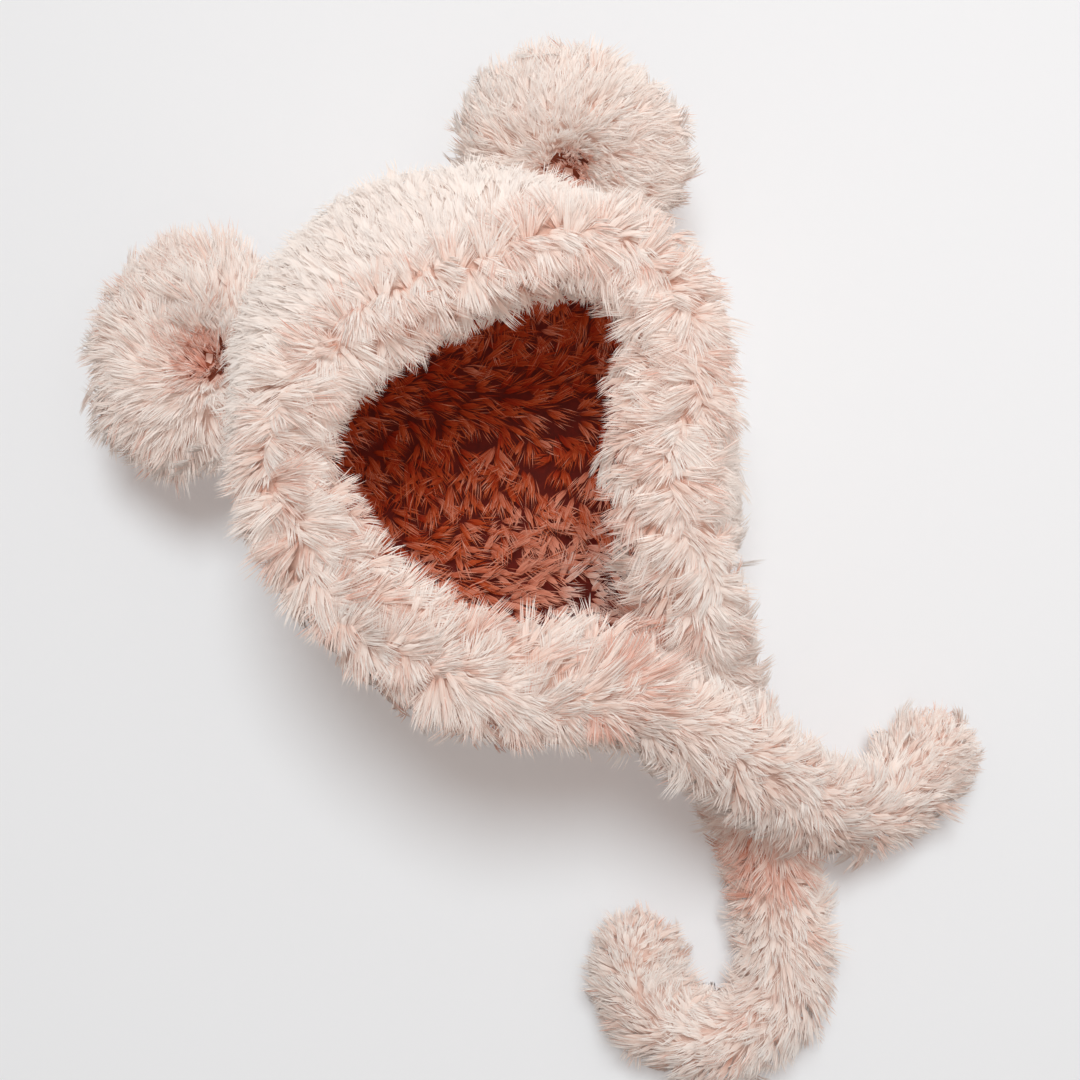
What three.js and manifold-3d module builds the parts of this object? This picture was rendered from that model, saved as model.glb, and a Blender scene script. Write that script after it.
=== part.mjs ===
// A baby bonnet with round animal ears, crocheted from one thick fur yarn. It lies on its back with the face
// opening up, and its two ties cross at the chin.
// Millimetres, +Z up, +Y towards the crown. The origin is on the resting surface, under the middle of the bonnet.
// Each solid has the outer form of its fur.

import * as THREE from 'three';
import { mergeVertices } from 'three/addons/utils/BufferGeometryUtils.js';
import Module from 'manifold-3d';

// Driving dimensions. The gap is what touching pieces keep between them.
const GAP = 0.3;
const WALL = 13;
const TRIM_HALF_HEIGHT = 15;
const TIE_RADIUS = 13;
const EAR_HALF_WIDTH = 42;
const EAR_HALF_HEIGHT = 36;
const EAR_HALF_THICKNESS = 18;
const EAR_HOLLOW_DEPTH = 24;
const EAR_HOLLOW_SPREAD = 13;
const EAR_HOLLOW_SHIFT = 8;

// The share of the hood's reach that lies flat, at its sides and at the nape. The nape's share comes in where the
// bearing's sine passes NAPE_SINE. An inner face is at least LEAST_RISE high at the girth.
const FLOOR_SHARE = 0.6;
const NAPE_FLOOR_SHARE = 0.84;
const NAPE_SINE = 0.75;
const LEAST_RISE = 2;

// How finely each surface is cut into flat faces, and how near two corners are that count as one.
const MERGE = 1e-4;
const HOOD_SECTIONS = 52;
const SHOULDER_STEPS = 5;
const UNDERSIDE_STEPS = 5;
const TRIM_STEPS = 60;
const TRIM_SIDES = 12;
const TIE_STEPS = 36;
const TIE_SIDES = 10;
const EAR_SLICES = 24;
const EAR_STACKS = 14;

// The middle of the bonnet's back in plan, which the hood's sections meet over.
const BACK = { x: 1, y: 2 };

// The middle of the face trim and its half width, from the left chin corner over the forehead to the right one.
const TRIM_ROUTE = [
  { x: -9, y: -95, z: 82, half: 18 },
  { x: -25, y: -86, z: 88, half: 20 },
  { x: -45, y: -69, z: 93, half: 20 },
  { x: -60, y: -47, z: 96, half: 20 },
  { x: -69, y: -22, z: 98, half: 19 },
  { x: -70, y: 3, z: 99, half: 18 },
  { x: -65, y: 25, z: 99, half: 17 },
  { x: -51, y: 42, z: 98, half: 16 },
  { x: -29, y: 51, z: 97, half: 16 },
  { x: -2, y: 52, z: 96, half: 16 },
  { x: 26, y: 50, z: 95, half: 16 },
  { x: 53, y: 42, z: 94, half: 16 },
  { x: 71, y: 29, z: 93, half: 16 },
  { x: 76, y: 9, z: 92, half: 17 },
  { x: 68, y: -11, z: 92, half: 19 },
  { x: 54, y: -29, z: 92, half: 20 },
  { x: 44, y: -45, z: 91, half: 20 },
  { x: 38, y: -61, z: 88, half: 19 },
  { x: 34, y: -77, z: 83, half: 18 },
  { x: 29, y: -92, z: 75, half: 16 },
];

// The first and last stations of the trim that the hood's front edge follows.
const EDGE_FROM = 2;
const EDGE_TO = 17;

// The neck edge, from the right side of the neck round the nape to the left side.
const NECK_ROUTE = [
  { x: 42, y: -76, z: 68 },
  { x: 43, y: -90, z: 46 },
  { x: 36, y: -104, z: 28 },
  { x: 20, y: -114, z: 19 },
  { x: 1, y: -117, z: 17 },
  { x: -18, y: -114, z: 19 },
  { x: -35, y: -105, z: 28 },
  { x: -45, y: -93, z: 46 },
  { x: -47, y: -82, z: 68 },
];

// The hood's widest reach from the middle of its back, and the height of it, by the bearing from +X.
const GIRTH = [
  { bearing: -180, reach: 89, height: 44 },
  { bearing: -150, reach: 91, height: 42 },
  { bearing: -120, reach: 102, height: 28 },
  { bearing: -90, reach: 120, height: 11 },
  { bearing: -60, reach: 102, height: 28 },
  { bearing: -30, reach: 91, height: 42 },
  { bearing: 0, reach: 90, height: 44 },
  { bearing: 30, reach: 95, height: 46 },
  { bearing: 60, reach: 99, height: 48 },
  { bearing: 90, reach: 103, height: 48 },
  { bearing: 120, reach: 103, height: 48 },
  { bearing: 150, reach: 96, height: 46 },
];

// The ears: the middle of each, the bearing it points in, and how far its tip is turned down or up.
const EARS = [
  { name: 'ear_left', x: -80, y: 85, z: 40, bearing: 134, droop: 12 },
  { name: 'ear_right', x: 80, y: 78, z: 42, bearing: 44, droop: -16 },
];

// The middle of each tie, from inside the trim's end to the tip.
const TIES = [
  {
    name: 'tie_left',
    route: [
      { x: -14, y: -96.5, z: 83.5 },
      { x: 0, y: -106, z: 82.5 },
      { x: 9, y: -122, z: 80 },
      { x: 18, y: -141, z: 69 },
      { x: 27, y: -160, z: 53 },
      { x: 37, y: -177, z: 37 },
      { x: 48, y: -189, z: 23 },
      { x: 61, y: -193, z: 16 },
      { x: 75, y: -190, z: 14 },
      { x: 88, y: -187, z: 14 },
      { x: 100, y: -189, z: 14 },
    ],
  },
  {
    name: 'tie_right',
    route: [
      { x: 31, y: -88, z: 77.5 },
      { x: 27, y: -103, z: 64 },
      { x: 24, y: -120, z: 48 },
      { x: 21, y: -138, z: 34 },
      { x: 18, y: -156, z: 23 },
      { x: 15, y: -173, z: 16 },
      { x: 11, y: -192, z: 14 },
      { x: 4, y: -210, z: 14 },
      { x: -4, y: -227, z: 14 },
      { x: -13, y: -237, z: 14 },
      { x: -25, y: -242, z: 14 },
      { x: -39, y: -240, z: 14 },
      { x: -50, y: -233, z: 14 },
      { x: -56, y: -221, z: 14 },
      { x: -56, y: -207, z: 14 },
      { x: -50, y: -195, z: 14 },
      { x: -41, y: -188, z: 14 },
    ],
  },
];

const COLOURS = {
  hood: 0xeeddd2,
  face_trim: 0xf0e0d6,
  ear_left: 0xe6cfc2,
  ear_right: 0xe6cfc2,
  tie_left: 0xecd9ce,
  tie_right: 0xecd9ce,
};

const wasm = await Module();
wasm.setup();

const UP = new THREE.Vector3(0, 0, 1);

const toVector = (row) => new THREE.Vector3(row.x, row.y, row.z);

// A closed geometry from rings of points that each have the same count, with a fan to a point at both ends.
function loft(rings, firstPoint, lastPoint) {
  const count = rings[0].length;
  const points = rings.flat().concat([firstPoint, lastPoint]);
  const first = points.length - 2;
  const last = points.length - 1;
  const tail = (rings.length - 1) * count;
  const faces = [];
  for (let i = 0; i < count; i += 1) {
    const j = (i + 1) % count;
    faces.push(first, j, i, last, tail + i, tail + j);
    for (let k = 0; k + 1 < rings.length; k += 1) {
      const near = k * count;
      const far = near + count;
      faces.push(near + i, near + j, far + j, near + i, far + j, far + i);
    }
  }
  const geometry = new THREE.BufferGeometry();
  geometry.setAttribute('position', new THREE.Float32BufferAttribute(points.flatMap((p) => [p.x, p.y, p.z]), 3));
  geometry.setIndex(faces);
  return geometry;
}

// A closed geometry as a solid that can be joined and cut.
function toSolid(geometry) {
  const bare = geometry.clone();
  bare.deleteAttribute('normal');
  bare.deleteAttribute('uv');
  const merged = mergeVertices(bare, MERGE);
  const mesh = new wasm.Mesh({
    numProp: 3,
    vertProperties: new Float32Array(merged.attributes.position.array),
    triVerts: new Uint32Array(merged.index.array),
  });
  return new wasm.Manifold(mesh);
}

function toGeometry(solid) {
  const mesh = solid.getMesh();
  const geometry = new THREE.BufferGeometry();
  geometry.setAttribute('position', new THREE.BufferAttribute(mesh.vertProperties, 3));
  geometry.setIndex(new THREE.BufferAttribute(mesh.triVerts, 1));
  geometry.computeVertexNormals();
  return geometry;
}

// The girth's reach and height at any bearing, eased between the rows of its table.
function girthAt(bearing) {
  const rows = GIRTH.length;
  const step = 360 / rows;
  const place = (bearing - GIRTH[0].bearing) / step + rows;
  const row = Math.floor(place);
  const part = THREE.MathUtils.smoothstep(place - row, 0, 1);
  const from = GIRTH[row % rows];
  const to = GIRTH[(row + 1) % rows];
  return {
    reach: THREE.MathUtils.lerp(from.reach, to.reach, part),
    height: THREE.MathUtils.lerp(from.height, to.height, part),
  };
}

// The hood's edge: along the trim over the face, then round the neck.
const hoodEdge = new THREE.CatmullRomCurve3(
  TRIM_ROUTE.slice(EDGE_FROM, EDGE_TO + 1).concat(NECK_ROUTE).map(toVector),
  true,
);

// One face of the hood, as rings from its edge to the middle of its back. Each section leaves the edge, swells to
// the girth on a quarter ellipse, and turns under on another to the flat of the back. The inset moves the face
// inwards from the outer one.
function hoodRings(inset) {
  const edge = hoodEdge.getSpacedPoints(HOOD_SECTIONS).slice(0, HOOD_SECTIONS);
  const sections = edge.map((point) => {
    const bearing = Math.atan2(point.y - BACK.y, point.x - BACK.x);
    const edgeReach = Math.hypot(point.x - BACK.x, point.y - BACK.y);
    const girth = girthAt(THREE.MathUtils.radToDeg(bearing));
    const edgeNow = edgeReach + WALL / 2 - inset;
    const reach = Math.max(girth.reach, edgeReach + WALL / 2) - inset;
    const base = Math.max(inset, 0);
    const height = Math.max(girth.height, base + LEAST_RISE);
    const nape = THREE.MathUtils.smoothstep(-Math.sin(bearing), NAPE_SINE, 1);
    const flat = reach * THREE.MathUtils.lerp(FLOOR_SHARE, NAPE_FLOOR_SHARE, nape);
    const profile = [];
    for (let k = 0; k <= SHOULDER_STEPS; k += 1) {
      const turn = (k / SHOULDER_STEPS) * Math.PI / 2;
      const top = Math.max(point.z, height);
      profile.push([edgeNow + (reach - edgeNow) * Math.sin(turn), height + (top - height) * Math.cos(turn)]);
    }
    for (let k = 1; k <= UNDERSIDE_STEPS; k += 1) {
      const turn = (k / UNDERSIDE_STEPS) * Math.PI / 2;
      profile.push([flat + (reach - flat) * Math.cos(turn), base + (height - base) * (1 - Math.sin(turn))]);
    }
    return profile.map(([r, z]) => new THREE.Vector3(
      BACK.x + r * Math.cos(bearing),
      BACK.y + r * Math.sin(bearing),
      z,
    ));
  });
  return sections[0].map((unused, k) => sections.map((section) => section[k]));
}

// The hood's outer form without its hollow, grown by a clearance.
function hoodBlock(clearance) {
  const rings = hoodRings(-clearance);
  const lid = rings[0].reduce((sum, p) => sum.add(p), new THREE.Vector3()).divideScalar(HOOD_SECTIONS);
  return toSolid(loft(rings, lid, new THREE.Vector3(BACK.x, BACK.y, 0)));
}

function hoodShell() {
  const outer = hoodRings(0);
  const inner = hoodRings(WALL);
  const rings = inner.reverse().concat(outer);
  return loft(rings, new THREE.Vector3(BACK.x, BACK.y, WALL), new THREE.Vector3(BACK.x, BACK.y, 0));
}

// The trim: an upright ellipse carried along its route, grown by a clearance at its sides and ends.
function trimSweep(clearance) {
  const curve = new THREE.CatmullRomCurve3(TRIM_ROUTE.map(toVector));
  const widths = new THREE.CatmullRomCurve3(TRIM_ROUTE.map((row) => new THREE.Vector3(row.half, 0, 0)));
  const rings = [];
  for (let k = 0; k <= TRIM_STEPS; k += 1) {
    const along = curve.getTangentAt(k / TRIM_STEPS);
    const centre = curve.getPointAt(k / TRIM_STEPS);
    const side = new THREE.Vector3().crossVectors(UP, along).normalize();
    const rise = new THREE.Vector3().crossVectors(along, side);
    const end = Number(k === TRIM_STEPS) - Number(k === 0);
    centre.addScaledVector(along, end * clearance);
    const half = widths.getPoint(curve.getUtoTmapping(k / TRIM_STEPS)).x + clearance;
    const ring = [];
    for (let s = 0; s < TRIM_SIDES; s += 1) {
      const turn = (s / TRIM_SIDES) * Math.PI * 2;
      ring.push(centre.clone()
        .addScaledVector(side, half * Math.cos(turn))
        .addScaledVector(rise, (TRIM_HALF_HEIGHT + clearance) * Math.sin(turn)));
    }
    rings.push(ring);
  }
  const middle = (ring) => ring.reduce((sum, p) => sum.add(p), new THREE.Vector3()).divideScalar(TRIM_SIDES);
  return loft(rings, middle(rings[0]), middle(rings[TRIM_STEPS]));
}

// An ear: a flattened ball with a hollow pressed into its front, nearer to the hood than to the tip.
function earShape(ear) {
  const rings = [];
  const pole = (sign) => new THREE.Vector3(0, 0, sign * EAR_HALF_THICKNESS);
  const press = (point) => {
    const away = Math.hypot(point.x, point.y + EAR_HOLLOW_SHIFT) / EAR_HOLLOW_SPREAD;
    const front = Math.max(point.z, 0) / EAR_HALF_THICKNESS;
    point.z -= EAR_HOLLOW_DEPTH * front * Math.exp(-away * away);
    return point;
  };
  for (let k = 1; k < EAR_STACKS; k += 1) {
    const down = (k / EAR_STACKS) * Math.PI;
    const ring = [];
    for (let s = 0; s < EAR_SLICES; s += 1) {
      const turn = (s / EAR_SLICES) * Math.PI * 2;
      ring.push(press(new THREE.Vector3(
        EAR_HALF_WIDTH * Math.sin(down) * Math.cos(turn),
        EAR_HALF_HEIGHT * Math.sin(down) * Math.sin(turn),
        -EAR_HALF_THICKNESS * Math.cos(down),
      )));
    }
    rings.push(ring);
  }
  const geometry = loft(rings, pole(-1), press(pole(1)));
  geometry.rotateX(THREE.MathUtils.degToRad(-ear.droop));
  geometry.rotateZ(THREE.MathUtils.degToRad(ear.bearing - 90));
  geometry.translate(ear.x, ear.y, ear.z);
  return geometry;
}

function tieTube(tie) {
  const section = new THREE.Shape();
  section.absarc(0, 0, TIE_RADIUS, 0, Math.PI * 2);
  return new THREE.ExtrudeGeometry(section, {
    curveSegments: TIE_SIDES,
    steps: TIE_STEPS,
    bevelEnabled: false,
    extrudePath: new THREE.CatmullRomCurve3(tie.route.map(toVector)),
  });
}

const clearTrim = toSolid(trimSweep(GAP));
const clearHood = hoodBlock(GAP);

const shapes = new Map();
shapes.set('hood', toGeometry(toSolid(hoodShell()).subtract(clearTrim)));
shapes.set('face_trim', trimSweep(0));
for (const ear of EARS) {
  shapes.set(ear.name, toGeometry(toSolid(earShape(ear)).subtract(clearHood).subtract(clearTrim)));
}
for (const tie of TIES) {
  shapes.set(tie.name, toGeometry(toSolid(tieTube(tie)).subtract(clearTrim)));
}

const bonnet = new THREE.Group();
for (const [name, geometry] of shapes) {
  const material = new THREE.MeshStandardMaterial({ color: COLOURS[name], roughness: 0.95, metalness: 0 });
  const mesh = new THREE.Mesh(geometry, material);
  mesh.name = name;
  bonnet.add(mesh);
}

export default bonnet;
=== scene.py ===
"""A baby bonnet with round animal ears, crocheted from one thick fur yarn. It lies on its back, face up.

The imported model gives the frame. This script dresses it: a knitted ground under each furry piece, and on it
the pile, hair by hair. Lengths are in metres, and the tables below are in millimetres. Each random draw has a
seed of its own.
"""
from dataclasses import dataclass

import bpy
import numpy as np
from mathutils import Matrix, Vector


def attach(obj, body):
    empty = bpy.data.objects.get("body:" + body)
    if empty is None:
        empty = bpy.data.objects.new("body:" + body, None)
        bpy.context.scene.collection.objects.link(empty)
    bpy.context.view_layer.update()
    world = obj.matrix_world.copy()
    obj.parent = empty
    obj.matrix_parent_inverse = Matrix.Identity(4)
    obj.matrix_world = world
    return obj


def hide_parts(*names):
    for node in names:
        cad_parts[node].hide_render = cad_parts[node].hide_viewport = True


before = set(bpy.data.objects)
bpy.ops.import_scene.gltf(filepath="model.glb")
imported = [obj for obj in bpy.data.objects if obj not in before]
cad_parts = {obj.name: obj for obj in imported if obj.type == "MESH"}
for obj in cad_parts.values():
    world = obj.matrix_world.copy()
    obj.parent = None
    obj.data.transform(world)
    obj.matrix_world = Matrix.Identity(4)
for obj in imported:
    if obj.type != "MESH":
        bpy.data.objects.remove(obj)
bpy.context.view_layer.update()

MM = 0.001
UP = np.array([0.0, 0.0, 1.0])

# The camera looks straight down from above the face, turned about the upright axis.
PHOTO_SIZE = 1080
CAMERA_PLACE = (-0.003, -0.040, 0.750)
CAMERA_TURN = np.radians(-30.4)
FOCAL_PIXELS = 1911.8
SENSOR = 36.0

# The face trim: its middle and its half width, from the left chin corner over the forehead to the right one.
TRIM_ROUTE = np.array([
    (-9, -95, 82, 18), (-25, -86, 88, 20), (-45, -69, 93, 20), (-60, -47, 96, 20), (-69, -22, 98, 19),
    (-70, 3, 99, 18), (-65, 25, 99, 17), (-51, 42, 98, 16), (-29, 51, 97, 16), (-2, 52, 96, 16),
    (26, 50, 95, 16), (53, 42, 94, 16), (71, 29, 93, 16), (76, 9, 92, 17), (68, -11, 92, 19),
    (54, -29, 92, 20), (44, -45, 91, 20), (38, -61, 88, 19), (34, -77, 83, 18), (29, -92, 75, 16),
]) * MM
TRIM_HALF_HEIGHT = 15 * MM

# Where the trim's two ends push its inner pile up at the chin: the middle, the reach, and how much longer
# it grows.
LIP = (-4 * MM, -75 * MM, 32 * MM, 0.85)

# Painted shade at the chin, in its creases and where one tie shades the other: the middle, the reach, and
# how far the tone falls.
PAINTED_CREASE_SHADE = ((10, -184, 13, 0.8), (-17, -120, 7, 0.7), (-9, -98, 8, 0.5), (22, -87, 8, 0.8))

# The neck edge, from the right side of the neck round the nape to the left side.
NECK_ROUTE = np.array([
    (42, -76, 68), (43, -90, 46), (36, -104, 28), (20, -114, 19), (1, -117, 17),
    (-18, -114, 19), (-35, -105, 28), (-45, -93, 46), (-47, -82, 68),
]) * MM
EDGE_STATIONS = slice(2, 18)

# The hood: the middle of its back, its wall, how far the flat of its back reaches under it, and at every 30
# degrees of bearing, from the one against +X round to itself, its widest reach and the height of it.
BACK = np.array([1, 2]) * MM
WALL = 13 * MM
FLOOR_SHARE = 0.6
NAPE_FLOOR_SHARE = 0.84
NAPE_SINE = 0.75
LEAST_RISE = 2 * MM
GIRTH_STEP = np.radians(30)
GIRTH_REACH = np.array([89, 91, 102, 120, 102, 91, 90, 95, 99, 103, 103, 96, 89]) * MM
GIRTH_HEIGHT = np.array([44, 42, 28, 11, 28, 42, 44, 46, 48, 48, 48, 46, 44]) * MM

# The inside's colours are painted shade of the hollow hood, by Y towards the neck: rust as far as the darkest
# level, then paler as far as the lightest level, and blush past the nape's level, over a blurred edge.
DARKEST_SHADE_LEVEL = 0
LIGHTEST_SHADE_LEVEL = -50 * MM
NAPE_LEVEL = -56 * MM
NAPE_BLUR = 4 * MM

# The ears: the middle of each, the bearing it points in, and how far its tip is turned down or up. Then
# their half sizes, and the hollow in front with the pit in it, whose rosy colour is painted shade.
EARS = {
    "ear_left": dict(place=(-80, 85, 40), bearing=134, droop=12),
    "ear_right": dict(place=(80, 78, 42), bearing=44, droop=-16),
}
EAR_HALF = np.array([42, 36, 18]) * MM
EAR_HOLLOW_DEPTH = 24 * MM
EAR_HOLLOW_SPREAD = 13 * MM
EAR_HOLLOW_SHIFT = 8 * MM
EAR_PIT_SHADE = 10 * MM

# The middle of each tie, from inside the trim's end to the tip.
TIES = {
    "tie_left": np.array([
        (-14, -96.5, 83.5), (0, -106, 82.5), (9, -122, 80), (18, -141, 69), (27, -160, 53), (37, -177, 37),
        (48, -189, 23), (61, -193, 16), (75, -190, 14), (88, -187, 14), (100, -189, 14),
    ]) * MM,
    "tie_right": np.array([
        (31, -88, 77.5), (27, -103, 64), (24, -120, 48), (21, -138, 34), (18, -156, 23), (15, -173, 16),
        (11, -192, 14), (4, -210, 14), (-4, -227, 14), (-13, -237, 14), (-25, -242, 14), (-39, -240, 14),
        (-50, -233, 14), (-56, -221, 14), (-56, -207, 14), (-50, -195, 14), (-41, -188, 14),
    ]) * MM,
}
TIE_CORE = 6 * MM
TIE_END_PILE = 14 * MM

# How far the ground lies inside each outer form: knit, filled up by the dense lower pile.
TRIM_GROUND = 4.5 * MM
HOOD_GROUND = 4.5 * MM
HOOD_KNIT = 5 * MM
EAR_GROUND = 5 * MM
TIE_PILE_GROUND = 11.5 * MM
FLOOR_CLEARANCE = 0.3 * MM


def unit(vectors):
    """Each vector over its own length."""
    return vectors / np.maximum(np.linalg.norm(vectors, axis=-1, keepdims=True), 1e-12)


def dot(one, other):
    """The product of two fields of vectors, kept as a column so that it scales a vector."""
    return np.sum(one * other, axis=-1, keepdims=True)


def smoothstep(low, high, value):
    """0 below low, 1 above high, and 3t^2 - 2t^3 between them."""
    t = np.clip((value - low) / (high - low), 0, 1)
    return t * t * (3 - 2 * t)


def smooth_line(points, closed=False, steps=24):
    """A centripetal Catmull-Rom curve through the points: between two of them a cubic Hermite curve, whose
    slopes at its ends are means of the neighbouring chords, weighted by the square roots of their
    lengths."""
    points = np.asarray(points, float)
    if closed:
        ring = np.vstack([points[-1:], points, points[:2]])
    else:
        ring = np.vstack([2 * points[:1] - points[1:2], points, 2 * points[-1:] - points[-2:-1]])
    before, start, stop, after = ring[:-3], ring[1:-2], ring[2:-1], ring[3:]

    def root(one, other):
        return np.sqrt(np.linalg.norm((other - one)[:, :3], axis=1, keepdims=True))

    first, middle, last = root(before, start), root(start, stop), root(stop, after)
    chord = (stop - start) / middle
    leave = middle * ((start - before) / first - (stop - before) / (first + middle) + chord)
    arrive = middle * (chord - (after - start) / (middle + last) + (after - stop) / last)
    t = (np.arange(steps) / steps)[:, None, None]
    curve = (
        (2 * t**3 - 3 * t**2 + 1) * start
        + (t**3 - 2 * t**2 + t) * leave
        + (3 * t**2 - 2 * t**3) * stop
        + (t**3 - t**2) * arrive
    )
    return np.vstack([curve.transpose(1, 0, 2).reshape(-1, points.shape[1]), stop[-1:]])


def evenly(line, count):
    """That many points at equal distances along a line."""
    run = np.concatenate([[0], np.cumsum(np.linalg.norm(np.diff(line[:, :3], axis=0), axis=1))])
    wanted = np.linspace(0, run[-1], count)
    return np.stack([np.interp(wanted, run, column) for column in line.T], axis=1)


def length_of(line):
    """The sum of a line's steps."""
    return float(np.linalg.norm(np.diff(line[:, :3], axis=0), axis=1).sum())


# A grid's steps count as at least this long, so that nothing is moved far where its rows or columns run
# together.
LEAST_STEP = 0.4 * MM


class Skin:
    """A surface known on a grid that closes across its columns: its points, its outward unit normals, and
    its steps down the rows and across the columns. A point between the grid's own is the mean of the four
    round it, weighted by nearness."""

    def __init__(self, points, outward=1):
        self.points = points
        self.down = np.gradient(points, axis=0)
        self.across = (np.roll(points, -1, 1) - np.roll(points, 1, 1)) / 2
        normal = np.cross(self.down, self.across) * outward
        self.area = np.linalg.norm(normal, axis=-1)
        self.normals = unit(normal)

    def at(self, field, row, column):
        """The field's value at fractional rows and columns."""
        rows, columns = self.points.shape[:2]
        row, column = np.clip(row, 0, rows - 1.001), column % columns
        i, j = np.floor(row).astype(int), np.floor(column).astype(int) % columns
        s, t = row - np.floor(row), column - np.floor(column)
        if field.ndim > 2:
            s, t = s[..., None], t[..., None]
        k, m = (i + 1) % rows, (j + 1) % columns
        near = field[i, j] * (1 - s) + field[k, j] * s
        far = field[i, m] * (1 - s) + field[k, m] * s
        return near * (1 - t) + far * t

    def moved(self, row, column, step):
        """The rows and columns reached by a short step along the surface."""
        down, across = self.at(self.down, row, column), self.at(self.across, row, column)
        ahead = (step * down).sum(-1) / np.maximum((down * down).sum(-1), LEAST_STEP**2)
        aside = (step * across).sum(-1) / np.maximum((across * across).sum(-1), LEAST_STEP**2)
        return row + ahead, column + aside

    def scatter(self, count, seed, density=1.0, rounds=12):
        """Places spread evenly: drawn by area and density, then pushed a few times from neighbours that are
        nearer than an even share of the room."""
        rng = np.random.default_rng(seed)
        weight = (self.area * density).ravel()
        cell = rng.choice(weight.size, count, p=weight / weight.sum())
        row = cell // self.points.shape[1] + rng.random(count)
        column = cell % self.points.shape[1] + rng.random(count)
        room = 1.1 * np.sqrt(weight.sum() / count)
        for _ in range(rounds):
            place = self.at(self.points, row, column)
            away = place[:, None] - place[None]
            far = np.linalg.norm(away, axis=2, keepdims=True) + 1e-9
            push = (away / far * np.clip(1 - far / room, 0, 1)).sum(1) * room * 0.4
            row, column = self.moved(row, column, push)
        return row, column


@dataclass
class Pile:
    """How a patch of fur grows. A tuft springs from one pinched stitch and fans out in locks, each of some
    hairs. Angles are in degrees: fan is half the tuft's spread, rise and lie are a lock's lean from upright
    at its root and at its tip, and wild is how far a tuft strays from the flow. Wide and deep are a lock's
    half sizes, and close is how much narrower, or below 0 wider, it is at its tip. Fray is how far its
    hairs part at their tips, and thick is half a hair's width. Tone runs from 0 for rosy to 1 for pale.
    Relief is how rough the pile is: how far its locks twist, and how much of their roundness they keep in
    the light."""
    length: float
    locks: int
    hairs: int
    fan: float = 50
    rise: float = 20
    lie: float = 78
    wild: float = 10
    pinch: float = 3 * MM
    wide: float = 2.2 * MM
    deep: float = 0.45 * MM
    close: float = -0.12
    fray: float = 0.5 * MM
    thick: float = 0.13 * MM
    uneven: float = 0.12
    tone: float = 0.5
    tone_range: float = 0.3
    relief: float = 0.7


TIE_PILE = Pile(
    length=17 * MM, locks=6, hairs=14, fan=56, rise=36, lie=96, pinch=3 * MM, wide=2.9 * MM,
    tone=0.8, relief=0.45,
)
TRIM_FANS = Pile(
    length=19 * MM, locks=11, hairs=22, fan=46, rise=32, lie=104, wild=7, pinch=4 * MM, wide=2.8 * MM,
    tone=0.72,
)
TRIM_FILL = Pile(
    length=16 * MM, locks=7, hairs=18, fan=48, rise=42, lie=104, wild=9, wide=2.8 * MM, tone=0.62,
)
HOOD_OUTSIDE = Pile(
    length=20 * MM, locks=7, hairs=11, fan=34, rise=74, lie=95, wild=6, pinch=7 * MM, wide=4.0 * MM,
    deep=0.3 * MM, fray=0.3 * MM, uneven=0.06, tone=0.8, tone_range=0.12, relief=0.15,
)
HOOD_INSIDE = Pile(
    length=15 * MM, locks=4, hairs=12, fan=56, rise=46, lie=84, wide=2.9 * MM, tone=0.5, tone_range=0.35,
)
EAR_PILE = Pile(
    length=17 * MM, locks=7, hairs=16, fan=50, rise=38, lie=84, pinch=4 * MM, wide=2.8 * MM,
    tone=0.76, relief=0.5,
)

# How many tufts each patch of pile has.
TIE_TUFTS_PER_MM = 1.12
TRIM_STITCHES = 34
TRIM_FILL_TUFTS = 160
HOOD_OUTSIDE_TUFTS = 400
HOOD_INSIDE_TUFTS = 560
EAR_TUFTS = 150


class Locks:
    """Flattened locks of pile. Each follows a quadratic Bezier curve from its root to its tip, over which
    its width swells from a pinched root."""

    def __init__(self, root, bend, tip, side, pile):
        self.root, self.bend, self.tip, self.side = (field[:, None] for field in (root, bend, tip, side))
        self.pile = pile

    def axis(self, t):
        return (1 - t) ** 2 * self.root + 2 * t * (1 - t) * self.bend + t**2 * self.tip

    def over(self, t):
        """The way that a lock's upper side faces: square to its run and to its width."""
        run = (1 - t) * (self.bend - self.root) + t * (self.tip - self.bend)
        return unit(np.cross(run, self.side))

    def place(self, t, across, height):
        """The points at t along the locks, and at shares of their width and depth from the middle."""
        swell = (0.4 + 0.6 * smoothstep(0, 0.55, t)) * (1 - self.pile.close * smoothstep(0.5, 1, t))
        offset = across * self.pile.wide * self.side + height * self.pile.deep * self.over(t)
        return self.axis(t) + swell * offset

    def facing(self, t, across, height):
        return unit(across * self.side + height * self.over(t))


# A lock bends at this share of its length.
LOCK_BEND = 0.45

# A lock's body, which fills it under its hairs: how far along it its two rings of three points lie, how wide
# they are, and how deep and how low beside the lock. It closes to a point at both ends.
RING = 3
BODY_PLACES = (0.2, 0.48)
BODY_WIDTHS = (0.7, 0.5)
BODY_DEPTH = 0.5
BODY_SINK = 0.6
BODY_TIP = 0.7
BODY_FACES = np.array(
    [(0, 1 + (k + 1) % RING, 1 + k) for k in range(RING)]
    + [(1 + k, 1 + (k + 1) % RING, 4 + (k + 1) % RING) for k in range(RING)]
    + [(1 + k, 4 + (k + 1) % RING, 4 + k) for k in range(RING)]
    + [(7, 4 + k, 4 + (k + 1) % RING) for k in range(RING)]
)
BODY_SHADES = 0.05

# A hair: 0 its root, 1 and 2 the two sides of its bow, 3 its tip. The span is its share of its lock's length,
# a small share of hairs stray, and no bow is deeper than the most bend.
HAIR_FACES = np.array([(0, 1, 2), (3, 2, 1), (0, 3, 1), (0, 2, 3)])
HAIR_SPAN = 0.55
STRAY_SHARE = 0.14
MOST_BEND = 0.5 * MM
HAIR_SHADES = 0.006

# What a strand's normal is made of: its own roundness, its lock's, the skin's, and upwards. Light passes from
# hair to hair in deep fur, so it is lit as a soft mass, and strands that stick out from under it as those
# above.
OWN_SHARE, LOCK_SHARE, SKIN_SHARE, SKY_SHARE = 0.16, 0.16, 0.34, 0.34

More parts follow.
